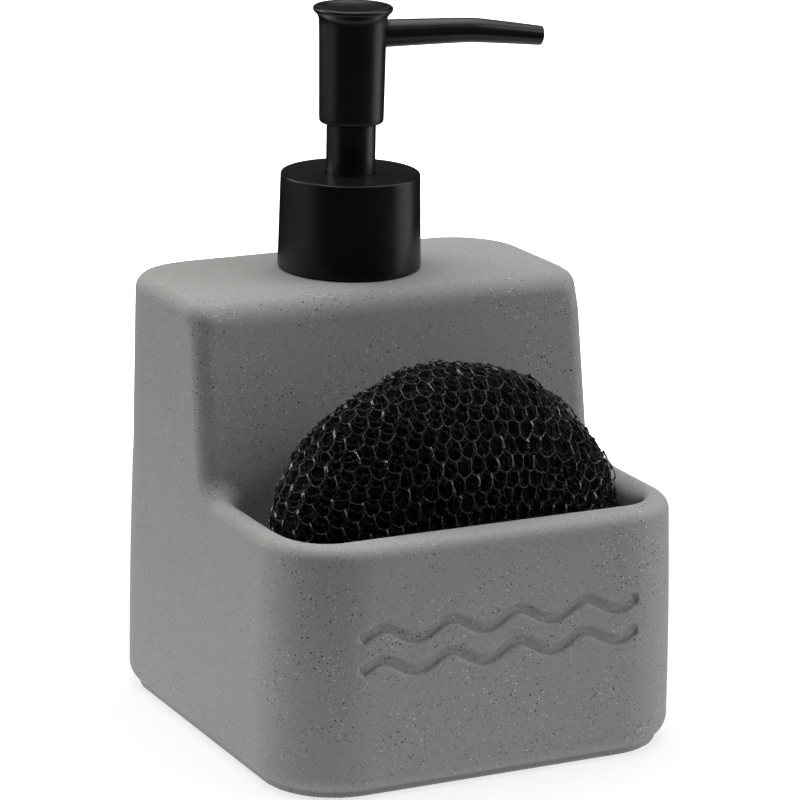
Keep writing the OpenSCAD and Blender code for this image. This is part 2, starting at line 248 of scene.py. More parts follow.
def casting(x, y, z):
    t = 0.0172 - 0.0078 * smooth01(-5, 40, y)
    full = 0.3 * np.sin(np.pi * np.clip(z / 60, 0, 1))
    env = rrect(x, y, W2 - t * np.maximum(z, 0) + full, -D2 + 0.017 * z - 0.6 * full, D2 - 0.011 * z, 19.65, 18.7)
    tray = meet(env, z - H_T, R_RIM)
    cx = W2 - 0.017 * H_T - WALL - 0.012 * (H_T - z)
    cy = -D2 + 0.017 * H_T + FRONT_WALL + 0.012 * (H_T - z)
    cavity = meet(rrect(x, y, cx, cy, 12.0, 9.0, 4.0), FLOOR - z, 5.0)
    shell = meet(tray, -cavity, 1.2 + (1.9 + 1.2 * smooth01(30, 44, x)) * smooth01(-42, -28, y))
    edge_r = 4.2 + 1.6 * smooth01(H_B - 11, H_B - 3, z)
    block = rrect(x, y, W2 - t * np.maximum(z, 0), y_front(z), D2 - 0.011 * z, edge_r, 18.7) * 0.995
    droop = 1.25 * np.clip((13 - y) / 8.15, 0, 1.2) ** 1.6 + smooth01(17, 44, x) * (0.25 + 0.4 * smooth01(30, 8, y))
    block = meet(block, z - H_B + droop, 3.2 + (R_TOP - 3.2) * smooth01(6, 34, y) * (1 - 0.8 * smooth01(34, 48, -x)))
    d = np.maximum(join(shell, block, 4.8), env)
    edge = meet(env, FOOT_H - z, 5.0)
    foot = np.maximum(meet(env + FOOT_IN, -z, 0.35), z - FOOT_H - 2)
    d = np.where(z < 14, np.maximum(d, np.minimum(edge, foot)), d)
    store = rrect(x, y, W2 - WALL - 0.010 * z, y_front(z) + WALL + 0.3, D2 - WALL - 0.3 - 0.011 * z, 4.2, 12.5)
    store = meet(meet(store, 7.0 - z, 4.0), z - 96.5, 4.0)
    d = meet(d, -store, 0.3)
    neck = np.hypot(x, y - PY) - 13.0
    d = meet(d, -np.maximum(neck, 92 - z), 0.3)

    def wave(zc):
        k = 2 * np.pi * 4 / 69.0
        xc = np.clip(x, -34.5, 34.5)
        zz = zc + 1.7 * np.sin(k * (xc + 34.5))
        slope = 1.7 * k * np.cos(k * (xc + 34.5))
        return np.hypot((z - zz) / np.sqrt(1 + slope * slope), np.maximum(np.abs(x) - 34.5, 0)) - 1.3
    groove = meet(np.minimum(wave(31.0), wave(38.5)), -(env + 0.8), 0.45)
    groove = np.maximum(groove, y + 40)
    return np.where((y < -48) & (np.abs(z - 35) < 12), meet(d, -groove, 0.4), d)


def slope_of(f, p, e=0.03):
    x, y, z = p[:, 0], p[:, 1], p[:, 2]
    g = np.c_[f(x + e, y, z) - f(x - e, y, z), f(x, y + e, z) - f(x, y - e, z), f(x, y, z + e) - f(x, y, z - e)]
    size = np.linalg.norm(g, axis=1) + 1e-12
    return g / size[:, None], size / (2 * e)


def mesh_field(f, lo, hi, vox, adapt):
    lo, hi = np.array(lo, float), np.array(hi, float)
    n = np.ceil((hi - lo) / vox).astype(int) + 1
    ax = [(lo[i] + vox * np.arange(n[i])).astype(np.float32) for i in range(3)]
    band = 3 * vox
    arr = np.empty(n, np.float32)
    for i in range(0, n[0], 16):
        xs, ys, zs = np.broadcast_arrays(ax[0][i:i + 16, None, None], ax[1][None, :, None], ax[2][None, None, :])
        arr[i:i + 16] = np.clip(f(xs, ys, zs), -band, band)
    grid = openvdb.FloatGrid(background=band)
    grid.copyFromArray(arr, tolerance=0.0)
    pts, tri, quad = grid.convertToPolygons(isovalue=0.0, adaptivity=adapt)
    p = lo + vox * pts.astype(float)
    for _ in range(3):
        g, m = slope_of(f, p)
        d = f(p[:, 0], p[:, 1], p[:, 2])
        p -= g * np.clip(d / np.maximum(m, 0.3), -vox * 0.6, vox * 0.6)[:, None]
    g, _ = slope_of(f, p)
    return p, [quad.astype(np.int32), tri.astype(np.int32)], g


# --------------------------------------------------------------------------
# materials
# --------------------------------------------------------------------------
def new_material(name):
    m = bpy.data.materials.new(name)
    m.use_nodes = True
    nt = m.node_tree
    nt.nodes.clear()
    out = nt.nodes.new("ShaderNodeOutputMaterial")
    bsdf = nt.nodes.new("ShaderNodeBsdfPrincipled")
    nt.links.new(bsdf.outputs[0], out.inputs[0])
    return m, nt, bsdf


def node(nt, kind, **values):
    n = nt.nodes.new(kind)
    for k, v in values.items():
        if k in n.inputs:
            n.inputs[k].default_value = v
        else:
            setattr(n, k, v)
    return n


def ramp(nt, source, stops, interpolation="LINEAR"):
    r = nt.nodes.new("ShaderNodeValToRGB")
    r.color_ramp.interpolation = interpolation
    els = r.color_ramp.elements
    while len(els) > 2:
        els.remove(els[-1])
    for i, (pos, col) in enumerate(stops):
        if i >= len(els):
            els.new(pos)
        els[i].position = pos
        els[i].color = (*col, 1) if len(col) == 3 else col
    nt.links.new(source, r.inputs[0])
    return r.outputs[0]


def noise(nt, scale, detail=2.0, rough=0.5, seed=0.0, coords=None):
    n = node(nt, "ShaderNodeTexNoise", noise_dimensions="4D", Scale=scale, Detail=detail, Roughness=rough, W=seed)
    nt.links.new(coords, n.inputs["Vector"])
    return n


def coords_of(nt):
    return nt.nodes.new("ShaderNodeTexCoord").outputs["Object"]


def mix(nt, factor, a, b):
    n = nt.nodes.new("ShaderNodeMix")
    n.data_type = "RGBA"
    nt.links.new(factor, n.inputs[0])
    for i, v in ((6, a), (7, b)):
        if isinstance(v, tuple):
            n.inputs[i].default_value = (*v, 1)
        else:
            nt.links.new(v, n.inputs[i])
    return n.outputs[2]


def math_node(nt, op, a, b, clamp=False):
    n = nt.nodes.new("ShaderNodeMath")
    n.operation = op
    n.use_clamp = clamp
    for i, v in ((0, a), (1, b)):
        if isinstance(v, (int, float)):
            n.inputs[i].default_value = v
        else:
            nt.links.new(v, n.inputs[i])
    return n.outputs[0]


def flecks(nt, co, scale, share, size, seed):
    """1 inside small grains: one grain in some of the cells of a Voronoi pattern, each with its own size."""
    shift = node(nt, "ShaderNodeMapping")
    shift.inputs["Location"].default_value = (seed, 0.37 * seed, -0.61 * seed)
    shift.inputs["Rotation"].default_value = (0.3 * seed, 0.5 * seed, 0.2)
    nt.links.new(co, shift.inputs["Vector"])
    v = node(nt, "ShaderNodeTexVoronoi", voronoi_dimensions="3D", feature="F1", Scale=scale)
    nt.links.new(shift.outputs[0], v.inputs["Vector"])
    sep = nt.nodes.new("ShaderNodeSeparateColor")
    nt.links.new(v.outputs["Color"], sep.inputs[0])
    here = math_node(nt, "LESS_THAN", sep.outputs[0], share)
    radius = math_node(nt, "MULTIPLY", math_node(nt, "ADD", math_node(nt, "MULTIPLY", sep.outputs[1], 0.75), 0.35), size)
    inside = math_node(nt, "SUBTRACT", radius, v.outputs["Distance"])
    soft = math_node(nt, "MULTIPLY", inside, 22.0, clamp=True)
    return math_node(nt, "MULTIPLY", soft, here)


def stoneware():
    m, nt, b = new_material("stoneware_speckled")
    co = coords_of(nt)
    cloud = ramp(nt, noise(nt, 28, 5, 0.6, 1.0, co).outputs[0], [(0.3, (0.268, 0.266, 0.264)), (0.7, (0.295, 0.2935, 0.291))])
    grain = ramp(nt, noise(nt, 2100, 3, 0.7, 4.0, co).outputs[0], [(0.36, (0.0, 0.0, 0.0)), (0.64, (1.0, 1.0, 1.0))])
    base = mix(nt, math_node(nt, "MULTIPLY", grain, 0.80), cloud, (0.212, 0.210, 0.206))
    # painted light and shade: the speckle strength is set by which way each face points, washed out on the lit two
    # sides and the reservoir's top, and strong on the shaded fronts, the back and the rim
    normal = nt.nodes.new("ShaderNodeSeparateXYZ")
    nt.links.new(nt.nodes.new("ShaderNodeNewGeometry").outputs["Normal"], normal.inputs[0])
    place = nt.nodes.new("ShaderNodeSeparateXYZ")
    nt.links.new(co, place.inputs[0])
    front = math_node(nt, "MULTIPLY", math_node(nt, "ABSOLUTE", normal.outputs[1], 0.0), 2.0, clamp=True)
    side = math_node(nt, "MULTIPLY", math_node(nt, "ABSOLUTE", normal.outputs[0], 0.0), 1.4)
    zone = math_node(nt, "MULTIPLY", math_node(nt, "SUBTRACT", 1.0, side, clamp=True), math_node(nt, "LESS_THAN", place.outputs[1], 0.004))
    fleck_shade_by_facing = math_node(nt, "ADD", math_node(nt, "MULTIPLY", math_node(nt, "MAXIMUM", front, zone), 0.47), 0.53)
    crowd = ramp(nt, noise(nt, 70, 3, 0.6, 9.0, co).outputs[0], [(0.40, (0.18, 0.18, 0.18)), (0.58, (1.0, 1.0, 1.0))])
    # painted light and shade: all the flecks below are scaled by the facing mask
    crowd = math_node(nt, "MULTIPLY", crowd, fleck_shade_by_facing)
    dark = math_node(nt, "MULTIPLY", flecks(nt, co, 1050, 0.78, 0.25, 2.0), crowd)
    dark2 = math_node(nt, "MULTIPLY", flecks(nt, co, 1900, 0.45, 0.26, 5.0), fleck_shade_by_facing)
    pale = math_node(nt, "MULTIPLY", flecks(nt, co, 1100, 0.85, 0.235, 12.0), crowd)
    c1 = mix(nt, math_node(nt, "MULTIPLY", dark, 0.95), base, (0.020, 0.018, 0.018))
    c2 = mix(nt, math_node(nt, "MULTIPLY", dark2, 0.75), c1, (0.05, 0.047, 0.045))
    c3 = mix(nt, math_node(nt, "MULTIPLY", pale, 0.58), c2, (0.72, 0.71, 0.66))
    nt.links.new(c3, b.inputs["Base Color"])
    nt.links.new(ramp(nt, noise(nt, 240, 4, 0.6, 3.0, co).outputs[0], [(0.3, (0.66,) * 3), (0.7, (0.80,) * 3)]), b.inputs["Roughness"])
    b.inputs["Specular IOR Level"].default_value = 0.32
    pits = math_node(nt, "SUBTRACT", math_node(nt, "MULTIPLY", grain, 0.35), dark)
    soft = noise(nt, 420, 4, 0.55, 7.0, co).outputs[0]
    h = math_node(nt, "ADD", pits, math_node(nt, "MULTIPLY", soft, 0.9))
    bump = node(nt, "ShaderNodeBump", Strength=0.22, Distance=0.00012)
    nt.links.new(h, bump.inputs["Height"])
    nt.links.new(bump.outputs[0], b.inputs["Normal"])
    return m


def plastic(name, tone, dark, rough, grain_scale, grain_depth, spec=0.5):
    """Moulded plastic: a faint cloud in its colour, spark-eroded grain and a rubbed patchiness in its gloss."""
    m, nt, b = new_material(name)
    co = coords_of(nt)
    nt.links.new(ramp(nt, noise(nt, 60, 4, 0.6, 1.0, co).outputs[0], [(0.3, dark), (0.7, tone)]), b.inputs["Base Color"])
    nt.links.new(ramp(nt, noise(nt, 180, 5, 0.65, 6.0, co).outputs[0], [(0.25, (rough - 0.05,) * 3), (0.75, (rough + 0.06,) * 3)]), b.inputs["Roughness"])
    b.inputs["Specular IOR Level"].default_value = spec
    bump = node(nt, "ShaderNodeBump", Strength=0.25, Distance=grain_depth)
    nt.links.new(noise(nt, grain_scale, 3, 0.6, 3.0, co).outputs[0], bump.inputs["Height"])
    nt.links.new(bump.outputs[0], b.inputs["Normal"])
    return m


def steel():
    m, nt, b = new_material("spring_steel_drawn")
    co = coords_of(nt)
    st = node(nt, "ShaderNodeMapping")
    st.inputs["Scale"].default_value = (1, 1, 9)
    nt.links.new(co, st.inputs["Vector"])
    n = noise(nt, 900, 3, 0.6, 2.0, st.outputs[0]).outputs[0]
    nt.links.new(ramp(nt, n, [(0.3, (0.50, 0.50, 0.49)), (0.7, (0.66, 0.66, 0.65))]), b.inputs["Base Color"])
    nt.links.new(ramp(nt, n, [(0.3, (0.20,) * 3), (0.7, (0.34,) * 3)]), b.inputs["Roughness"])
    b.inputs["Metallic"].default_value = 1.0
    return m


def foam():
    m, nt, b = new_material("gasket_foam_cells")
    co = coords_of(nt)
    v = node(nt, "ShaderNodeTexVoronoi", Scale=2600.0)
    nt.links.new(co, v.inputs["Vector"])
    nt.links.new(ramp(nt, v.outputs["Distance"], [(0.1, (0.60, 0.60, 0.57)), (0.5, (0.44, 0.44, 0.41))]), b.inputs["Base Color"])
    b.inputs["Roughness"].default_value = 0.9
    bump = node(nt, "ShaderNodeBump", Strength=0.4, Distance=0.0001)
    nt.links.new(v.outputs["Distance"], bump.inputs["Height"])
    nt.links.new(bump.outputs[0], b.inputs["Normal"])
    return m


def strand(name, tone, dark, rough, spec=0.5):
    """Extruded black filament: glossy, with slight dulling and fine lengthwise unevenness."""
    m, nt, b = new_material(name)
    co = coords_of(nt)
    nt.links.new(ramp(nt, noise(nt, 300, 3, 0.6, 1.0, co).outputs[0], [(0.35, dark), (0.65, tone)]), b.inputs["Base Color"])
    nt.links.new(ramp(nt, noise(nt, 420, 2, 0.5, 8.0, co).outputs[0], [(0.36, (rough - 0.08,) * 3), (0.64, (rough + 0.30,) * 3)]), b.inputs["Roughness"])
    b.inputs["Specular IOR Level"].default_value = spec
    bump = node(nt, "ShaderNodeBump", Strength=0.3, Distance=0.00006)
    nt.links.new(noise(nt, 2600, 2, 0.5, 3.0, co).outputs[0], bump.inputs["Height"])
    nt.links.new(bump.outputs[0], b.inputs["Normal"])
    return m


STONE = stoneware()
SATIN = plastic("black_satin_moulded", (0.0050, 0.0050, 0.0051), (0.0042, 0.0042, 0.0043), 0.33, 3200, 0.00002, 0.285)
SATIN_COLLAR = plastic("black_satin_collar", (0.0048, 0.0048, 0.0049), (0.0040, 0.0040, 0.0041), 0.33, 3200, 0.00002, 0.20)
INNER = plastic("black_inner_moulded", (0.016, 0.016, 0.016), (0.012, 0.012, 0.012), 0.55, 2200, 0.00003)
NATURAL = plastic("natural_plastic_moulded", (0.66, 0.66, 0.62), (0.60, 0.60, 0.56), 0.42, 2500, 0.00002)
STEEL = steel()
FOAM = foam()
NET = strand("mesh_black_filament", (0.0056, 0.0054, 0.0045), (0.0030, 0.0029, 0.0024), 0.26, 0.42)
RIBBON = strand("mesh_black_ribbon", (0.0085, 0.0081, 0.0070), (0.0040, 0.0039, 0.0034), 0.13, 0.95)
# painted shade: the inner net layers are the same filament as the outer net, given a darker, duller copy of its
# material for the shade inside the pad
NET_IN_SHADED = strand("mesh_black_inner_shaded", (0.0042, 0.0041, 0.0034), (0.0020, 0.0020, 0.0016), 0.46, 0.26)
# painted shade: the core is coloured far darker than the filament, standing in for the shade between the inner folds
NET_CORE_SHADE = strand("mesh_black_core_shade", (0.0017, 0.0017, 0.0013), (0.0009, 0.0009, 0.0007), 0.68, 0.05)

for names, mat in (
        (("collar_shell",), SATIN_COLLAR),
        (("guide_sleeve", "pump_head", "spout_nozzle"), SATIN),
        (("closure_ring", "neck_insert"), INNER),
        (("pump_housing", "ball_retainer", "stem", "stem_plug", "piston_seal", "dip_tube"), NATURAL),
        (("inlet_ball",), STEEL),
        (("neck_gasket",), FOAM)):
    for nm in names:
        N[nm].data.materials.clear()
        N[nm].data.materials.append(mat)

# --------------------------------------------------------------------------
# casting
# --------------------------------------------------------------------------
vox = 0.5
cp, cf, cn = mesh_field(casting, (-54, -55, -1.5), (54, 55, 104), vox, 0.0025)
cast = make_piece("stoneware_casting", cp, cf, cn, STONE)
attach(cast, "caddy")
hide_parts("caddy_body")

# --------------------------------------------------------------------------
# pump head and spout
# --------------------------------------------------------------------------
HR = 7.75
outer_side = spline([(HR - 0.02, 139.1), (HR + 0.07, 146.5), (HR + 0.17, 154.0), (HR + 0.28, 160.0), (HR + 0.38, 162.3),
                     (HR + 0.62, 163.2), (HR + 1.02, 163.75), (HR + 1.42, 164.1), (HR + 1.66, 164.45)], 5)
rim = spline([(HR + 1.66, 164.45), (HR + 1.75, 164.8), (HR + 1.69, 165.15), (HR + 1.45, 165.4), (HR + 1.05, 165.5),
              (HR + 0.45, 165.42), (HR - 0.65, 165.1), (HR - 2.35, 164.72), (HR - 4.55, 164.48), (1.0, 164.36)], 6)
profile = np.vstack([
    [[0, 160.6], [2.2, 160.6], [2.4, 160.4], [2.4, 156.7], [2.6, 156.5], [3.85, 156.5], [3.97, 156.4], [3.97, 152.5],
     [4.1, 152.2], [6.0, 152.2], [6.2, 152.0], [6.2, 138.1]],
    arc2(6.6, 138.0, 0.4, 180, 270, 4),
    [[HR - 1.0, 137.6]],
    arc2(HR - 0.85, 138.4, 0.8, -88, -10, 7),
    outer_side, rim[1:], [[0, 164.35]]])
hp, hf = lathe(profile, 160)
head = make_piece("pump_head_shell", hp + [0, PY, 0], hf, None, SATIN)
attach(head, "head")
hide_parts("pump_head")

turn = math.radians(-10)
rotz = np.array([[math.cos(turn), -math.sin(turn), 0], [math.sin(turn), math.cos(turn), 0], [0, 0, 1]])
line = spline([(6.9, 0, 158.62), (12, 0, 158.68), (20, 0, 158.74), (26, 0, 158.76), (29.5, 0, 158.70), (31.8, 0, 158.52),
               (34.2, 0, 158.26), (39, 0, 157.73), (43.5, 0, 157.21), (46.75, 0, 156.83)], 7)
s_along = line[:, 0]
outer = np.interp(s_along, [6.9, 31.5, 46.75], [3.32, 2.9, 2.34])
sp, sf = tube(line, outer, 1.45, 0.33)
spout = make_piece("spout_tube", sp @ rotz.T + [0, PY, 0], sf, None, SATIN)
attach(spout, "head")
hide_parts("spout_nozzle")

# --------------------------------------------------------------------------
# return spring: a piece of its own; the real spring shortens when the head is pressed
# --------------------------------------------------------------------------
def coil(z0, z1, turns, mean, wire, per=36, sides=10):
    """A compression spring whose end turns lie closed."""
    a = np.linspace(0, turns, int(turns * per) + 1)
    open_part = smooth01(0.8, 1.3, a) * smooth01(0.8, 1.3, turns - a)
    tight = 2.15 * wire
    step = a[1] - a[0]
    wide = (z1 - z0 - 2 * wire - tight * turns) / (np.sum(open_part[1:] + open_part[:-1]) * 0.5 * step)
    pitch = tight + wide * open_part
    z = z0 + wire + np.concatenate([[0.0], np.cumsum((pitch[1:] + pitch[:-1]) * 0.5 * step)])
    c, s = np.cos(2 * math.pi * a), np.sin(2 * math.pi * a)
    centre = np.c_[mean * c, mean * s, z]
    out = np.c_[c, s, np.zeros_like(a)]
    along = np.gradient(centre, axis=0)
    along /= np.linalg.norm(along, axis=1)[:, None]
    up = np.cross(out, along)
    k = 2 * math.pi * np.arange(sides) / sides
    p = centre[:, None] + wire * (np.cos(k)[None, :, None] * out[:, None] + np.sin(k)[None, :, None] * up[:, None])
    i, j = np.meshgrid(np.arange(len(a) - 1), np.arange(sides), indexing="ij")
    j2 = (j + 1) % sides
    quads = np.stack([i * sides + j, i * sides + j2, (i + 1) * sides + j2, (i + 1) * sides + j], -1).reshape(-1, 4)
    first = np.arange(sides)[None, :]
    return p.reshape(-1, 3), [quads[:, ::-1], first, first[:, ::-1] + (len(a) - 1) * sides]


low, high = [1000 * np.array(v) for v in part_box("return_spring")]
wp, wf = coil(low[2] + 0.02, high[2] - 0.05, 7.4, 4.3, 0.4)
spring = make_piece("return_spring_wire", wp + [0, PY, 0], wf, None, STEEL)
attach(spring, "pump_unit")
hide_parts("return_spring")
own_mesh(spring)

# --------------------------------------------------------------------------
# scourer: layers of knitted net round a bunched core
# --------------------------------------------------------------------------
PAD_C = np.array([0.0, -24.0, 45.75])
PAD_R, PAD_H, PAD_N = 45.0, 18.5, 2.3
TILT = math.radians(3.0)


def waves(p, length, count, seed):
    r = np.random.default_rng(seed)
    k = r.normal(size=(count, p.shape[1]))
    k /= np.linalg.norm(k, axis=1)[:, None]
    k *= (2 * math.pi / length * r.uniform(0.7, 1.35, count))[:, None]
    return np.sin(p @ k.T + r.uniform(0, 2 * math.pi, count)).sum(1) / math.sqrt(count)


def pad_curve(inset):
    """Profile of the pad from the middle of one face to the middle of the other: radius, thickness and its normal, by arc length."""
    a = np.linspace(0, math.pi, 1601)
    c, s = np.cos(a), np.sin(a)
    r = (PAD_R - inset) * np.abs(s) ** (2 / PAD_N)
    t = (PAD_H - inset) * np.sign(c) * np.abs(c) ** (2 / PAD_N)
    step = np.hypot(np.diff(r), np.diff(t))
    arc = np.concatenate([[0], np.cumsum(step)])
    dr, dt = np.gradient(r), np.gradient(t)
    size = np.hypot(dr, dt) + 1e-12
    return arc, r, t, -dt / size, dr / size


def on_pad(uv, side, inset, lift=0.0):
    """uv on a flat sheet laid over one face of the pad -> point and outward normal. side is -1 for the front face."""
    arc, r, t, nr, nt_ = pad_curve(inset)
    rho = np.hypot(uv[:, 0], uv[:, 1])
    phi = np.arctan2(uv[:, 1], uv[:, 0])
    rr, tt = np.interp(rho, arc, r), np.interp(rho, arc, t)
    a, b = np.interp(rho, arc, nr), np.interp(rho, arc, nt_)
    p = np.c_[rr * np.cos(phi), side * tt, rr * np.sin(phi)]
    n = np.c_[a * np.cos(phi), side * b, a * np.sin(phi)]
    n /= np.linalg.norm(n, axis=1)[:, None] + 1e-12
    return p + n * lift, n


def settle(p, gap):
    """Keeps points off the tray's walls and floor."""
    for _ in range(3):
        d = casting(p[:, 0], p[:, 1], p[:, 2])
        g, m = slope_of(casting, p, 0.2)
        push = np.clip(gap - d / np.maximum(m, 0.5), 0, 8.0)
        p = p + g * push[:, None]
    p[:, 2] = np.maximum(p[:, 2], FLOOR + gap)
    return p


def to_tray(p):
    c, s = math.cos(TILT), math.sin(TILT)
    q = np.c_[p[:, 0], p[:, 1] * c + p[:, 2] * s, -p[:, 1] * s + p[:, 2] * c]
    return q + PAD_C


def gathered_sheet(radius, pitch, wide, seed, jitter, lean, slip):
    """Knitted net in flat coordinates, inside a disc: upright bars fan out upwards, rows bow down at the sides, cells grow wider
    towards the sides. Returns nodes, edges, and True for the upright bars."""
    rng = np.random.default_rng(seed)
    at = [0.0]
    while at[-1] < radius * 1.7:
        at.append(at[-1] + wide + 1.35 * min((at[-1] / 48) ** 2, 1.3))
    at = np.array(at)
    steps = np.arange(len(at))
    rows = int(radius * 1.35 / pitch) + 3
    cols = len(at) - 2
    ids, pts, edges, kind = {}, [], [], []
    bar = pitch * 0.66

    def node_id(j, c, top):
        key = (j, c, top)
        if key not in ids:
            ids[key] = len(pts)
            u0 = math.copysign(float(np.interp(abs(c), steps, at)), c)
            v0 = j * pitch + (0.5 if top else -0.5) * bar
            u = u0 * (1 + 0.34 * math.tanh(v0 / 32))
            v = v0 * (1 - 0.17 * min((u0 / 48) ** 2, 1.2)) - 0.0052 * min(u0 * u0, 3600) + 5.0
            pts.append((u, v))
        return ids[key]
    for j in range(-rows, rows + 1):
        half = 0.5 * (j % 2)
        for i in range(-cols, cols):
            lo, hi = node_id(j, i + half, 0), node_id(j, i + half, 1)
            edges.append((lo, hi)); kind.append(True)
            for d in (-0.5, 0.5):
                edges.append((hi, node_id(j + 1, i + half + d, 0))); kind.append(False)
    uv = np.array(pts) + [slip, 0.6 * slip]
    uv = uv + rng.normal(size=uv.shape) * jitter
    rough = 0.25 + 0.75 * smooth01(4, 34, uv[:, 0]) + 0.35 * smooth01(10, 45, -uv[:, 1])
    bend = np.c_[waves(uv, 19, 9, seed + 1), waves(uv, 19, 9, seed + 2)] * 0.9
    bend += np.c_[waves(uv, 8.5, 11, seed + 3), waves(uv, 8.5, 11, seed + 4)] * 0.42
    uv = uv + bend * rough[:, None]
    c, s_ = math.cos(lean), math.sin(lean)
    uv = np.c_[uv[:, 0] * c - uv[:, 1] * s_, uv[:, 0] * s_ + uv[:, 1] * c]
    edges, kind = np.array(edges), np.array(kind)
    keep = np.hypot(*uv.T) <= radius
    ok = keep[edges[:, 0]] & keep[edges[:, 1]]
    return uv, edges[ok], kind[ok]


def strands(a, b, na, nb, ra, seed, segs, sides, sag, flat, droop=None):
    """Filaments from a to b as closed tubes. ra is their half width, flat their thickness against it, droop how far each hangs below its ends."""
    rng = np.random.default_rng(seed)
    m = len(a)
    t = np.linspace(0, 1, segs + 1)[None, :, None]
    path = a[:, None] * (1 - t) + b[:, None] * t
    nrm = na[:, None] * (1 - t) + nb[:, None] * t
    bow = rng.normal(size=(m, 1, 1)) * 0.16 + sag
    path = path + nrm * bow * (4 * t * (1 - t))
    drift = rng.normal(size=(m, 1, 3)) * 0.07
    if droop is not None:
        drift = drift + droop[:, None, :]
    path = path + drift * (4 * t * (1 - t))
    tan = np.gradient(path, axis=1)
    tan /= np.linalg.norm(tan, axis=2)[..., None] + 1e-12
    side = np.cross(nrm, tan)
    side /= np.linalg.norm(side, axis=2)[..., None] + 1e-12
    up = np.cross(tan, side)
    roll = rng.uniform(-1.0, 1.0, (m, 1, 1)) + rng.uniform(-0.7, 0.7, (m, 1, 1)) * t
    side, up = side * np.cos(roll) + up * np.sin(roll), up * np.cos(roll) - side * np.sin(roll)
    ang = 2 * math.pi * (np.arange(sides) + 0.5) / sides
    swell = 1.0 + 0.18 * np.cos(2 * math.pi * t)
    ring = (path[:, :, None] + ra[:, None, None, None] * swell[..., None]
            * (np.cos(ang)[None, None, :, None] * side[:, :, None] + flat * np.sin(ang)[None, None, :, None] * up[:, :, None]))
    base = (np.arange(m) * (segs + 1) * sides)[:, None, None]
    i, j = np.meshgrid(np.arange(segs), np.arange(sides), indexing="ij")
    j2 = (j + 1) % sides
    quad = np.stack([i * sides + j, i * sides + j2, (i + 1) * sides + j2, (i + 1) * sides + j], -1).reshape(1, -1, 4)
    quads = (base + quad).reshape(-1, 4)
    cap0 = (base[:, :, 0] + np.arange(sides)[::-1][None])
    cap1 = (base[:, :, 0] + segs * sides + np.arange(sides)[None])
    return ring.reshape(-1, 3), quads, np.vstack([cap0, cap1])


def knots(p, n, size, seed):
    """Small melted joints where filaments meet: rounded octahedra, a little flat against the pad."""
    rng = np.random.default_rng(seed)
    m = len(p)
    helper = np.where(np.abs(n[:, 2:3]) < 0.9, np.array([[0, 0, 1.0]]), np.array([[1.0, 0, 0]]))
    u = np.cross(helper, n)
    u /= np.linalg.norm(u, axis=1)[:, None]
    v = np.cross(n, u)
    s = size * rng.uniform(0.7, 1.6, (m, 1))
    turn = rng.uniform(0, math.pi, (m, 1))
    u, v = u * np.cos(turn) + v * np.sin(turn), v * np.cos(turn) - u * np.sin(turn)
    pts = np.stack([p + u * s, p + v * s * 1.25, p - u * s, p - v * s * 1.25, p + n * s * 0.8, p - n * s * 0.8], 1).reshape(-1, 3)
    tri = np.array([(0, 1, 4), (1, 2, 4), (2, 3, 4), (3, 0, 4), (1, 0, 5), (2, 1, 5), (3, 2, 5), (0, 3, 5)])
    return pts, ((np.arange(m) * 6)[:, None, None] + tri[None]).reshape(-1, 3)


def puff(p, scale):
    """How far the bunched net stands in or out of the plain pad, by place."""
    lump = 0.9 * waves(p, 26, 9, 31) + 0.45 * waves(p, 11, 11, 32)
    return lump * scale


def net(name, side, inset, pitch, wide, lean, slip, seed, jitter, bar_w, link_w, segs, sides, mat, radius):
    uv, ed, kind = gathered_sheet(radius, pitch, wide, seed, jitter, lean, slip)
    rng = np.random.default_rng(seed + 50)
    p, n = on_pad(uv, side, inset)
    down, _ = on_pad(uv - [0, 0.5], side, inset)
    down = (down - p) / 0.5
    p = p + n * (puff(p, 0.45) + rng.normal(size=len(p)) * (0.10 + 0.20 * smooth01(5, 36, uv[:, 0])))[:, None]
    p = to_tray(p)
    c, s = math.cos(TILT), math.sin(TILT)

    def turned(w):
        return np.c_[w[:, 0], w[:, 1] * c + w[:, 2] * s, -w[:, 1] * s + w[:, 2] * c]
    n, down = turned(n), turned(down)
    p = settle(p, 0.75)
    used = np.zeros(len(p), bool)
    used[ed.ravel()] = True
    w = np.where(kind, bar_w, link_w) * rng.uniform(0.85, 1.2, len(ed))
    droop = down[ed[:, 0]] * np.where(kind, 0.0, rng.uniform(0.22, 0.5, len(ed)))[:, None]
    sp_, q, caps = strands(p[ed[:, 0]], p[ed[:, 1]], n[ed[:, 0]], n[ed[:, 1]], w, seed + 7, segs, sides, 0.08, 0.34, droop)
    kp, kt = knots(p[used], n[used], link_w * 2.2, seed + 9)
    verts, faces = [sp_, kp], [q, kt + len(sp_), caps]
    if inset == 0:
        # here and there an upright bar is a wider, flat ribbon that catches the light
        mid = 0.5 * (uv[ed[:, 0]] + uv[ed[:, 1]])
        odds = 0.22 + 0.6 * smooth01(20, 38, -mid[:, 0]) + 0.45 * smooth01(6, 24, mid[:, 0]) * smooth01(-22, 4, -mid[:, 1])
        wide_bar = kind & (rng.uniform(size=len(ed)) < odds)
        e = ed[wide_bar]
        lift = n[e[:, 0]] * 0.12
        rp, rq, rc = strands(p[e[:, 0]] + lift, p[e[:, 1]] + lift, n[e[:, 0]], n[e[:, 1]], rng.uniform(0.30, 0.54, len(e)), seed + 11, 3, 6, 0.16, 0.30)
        scourer.append(make_piece(name.replace("net", "ribbons"), rp, [rq, rc], None, RIBBON))
    return make_piece(name, np.vstack(verts), faces, None, mat)


CORE = 0.85


